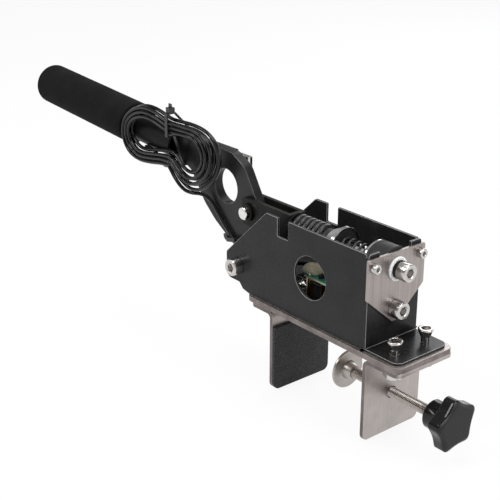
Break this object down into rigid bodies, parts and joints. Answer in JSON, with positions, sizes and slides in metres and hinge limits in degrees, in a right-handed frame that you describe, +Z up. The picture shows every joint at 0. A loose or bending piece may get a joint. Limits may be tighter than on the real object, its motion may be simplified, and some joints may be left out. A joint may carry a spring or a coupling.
{
  "type": "sim racing handbrake",
  "caption": "Clamp-on sim racing handbrake: pull lever with foam grip, sprung push rod, sensor board and cable hank.",
  "frame": {"origin": "middle of the underside of the base plate, the face that sits on the rail or bar it is clamped to", "axes": "+X toward the clamp knob and away from the handle, +Y to the far side, +Z up out of the rail"},
  "size_m": [0.511, 0.0665, 0.1908],
  "materials": {
    "black_powder_coat": "satin",
    "lever_paint": "satin",
    "raw_steel": "brushed, uncoated",
    "stainless": "fine vertical brushing",
    "zinc_bolt": "bright plated",
    "bright_chrome": "polished",
    "black_spring": "gloss",
    "blackened_steel": "blackened, satin",
    "black_rubber": "matte",
    "twill_rubber": "fine diagonal ribs",
    "grip_foam": "matte foam",
    "white_nylon": "smooth",
    "knob_plastic": "gloss",
    "bronze": "turned",
    "board_green": "solder mask",
    "chip_plastic": "matte",
    "glue": "milky",
    "cable_jacket": "soft gloss",
    "tie_nylon": "satin",
    "plug_metal": "satin"
  },
  "bodies": {
    "frame": {"housing": "black_powder_coat", "base_plate": "raw_steel", "rear_bracket": "raw_steel", "rear_pad": "twill_rubber", "front_bracket": "raw_steel", "base_bolts": "zinc_bolt", "base_nuts": "zinc_bolt", "rear_bolts": "zinc_bolt", "rear_nuts": "zinc_bolt", "front_plate": "stainless", "plate_screws": "zinc_bolt", "lower_bolt": "zinc_bolt", "lower_nut": "zinc_bolt", "rod_bush": "white_nylon", "damper": "black_rubber", "damper_washer": "bright_chrome", "pivot_bolt": "zinc_bolt", "pivot_nut": "zinc_bolt", "pivot_spacers": "zinc_bolt", "circuit_board": "board_green", "board_posts": "bronze", "board_screws": "zinc_bolt", "board_chip": "chip_plastic", "board_parts": "chip_plastic", "board_header": "chip_plastic", "hall_sensor": "chip_plastic", "hot_glue": "glue", "clamp_nut": "raw_steel", "cable_lead": "cable_jacket", "soft_spring": "black_spring", "stiff_spring": "black_spring"},
    "lever": {"lever_plate": "lever_paint", "pivot_bush": "bronze", "handle_tube": "lever_paint", "foam_grip": "grip_foam", "clevis_pin": "bright_chrome", "pin_rings": "blackened_steel", "lever_tie": "tie_nylon", "hank_tie": "tie_nylon", "cable_riser": "cable_jacket", "cable_hank": "cable_jacket", "cable_tail": "cable_jacket", "plug_body": "cable_jacket", "plug_shell": "plug_metal"},
    "push_rod": {"clevis": "lever_paint", "rod_bolt": "zinc_bolt", "end_washer": "blackened_steel", "seat_washer": "blackened_steel"},
    "cup": {"spring_cup": "bright_chrome", "cup_pad": "black_rubber", "neck_sleeve": "blackened_steel", "magnet_holder": "chip_plastic", "sensor_magnet": "bright_chrome"},
    "disc": {"pressure_disc": "bright_chrome"},
    "screw": {"clamp_screw": "zinc_bolt", "knob_insert": "bronze", "star_knob": "knob_plastic"}
  },
  "joints": [
    {"name": "lever_pivot", "type": "hinge", "parent": "frame", "child": "lever", "pos_m": [-0.091, 0, 0.023], "axis": [0, 1, 0], "range_deg": [0, 16], "stiffness_Nm_per_rad": 40, "springref_deg": -5.73, "deforming": ["cable_lead"]},
    {"name": "rod_slide", "type": "slide", "parent": "frame", "child": "push_rod", "axis": [1, 0, 0], "range_m": [0, 0.0106], "deforming": ["stiff_spring"]},
    {"name": "cup_slide", "type": "slide", "parent": "frame", "child": "cup", "axis": [1, 0, 0], "range_m": [0, 0.0075], "deforming": ["soft_spring"]},
    {"name": "clamp_slide", "type": "slide", "parent": "frame", "child": "disc", "axis": [1, 0, 0], "range_m": [-0.035, 0.026]},
    {"name": "clamp_spin", "type": "hinge", "parent": "disc", "child": "screw", "pos_m": [0.05, 0, -0.034], "axis": [1, 0, 0], "range_deg": [-10260, 7668]}
  ],
  "couplings": [
    {"joint": "rod_slide", "follows": "lever_pivot", "m_per_rad": 0.0368},
    {"joint": "cup_slide", "follows": "lever_pivot", "m_per_rad": 0.025},
    {"joint": "clamp_spin", "follows": "clamp_slide", "rad_per_m": 5026.5}
  ]
}
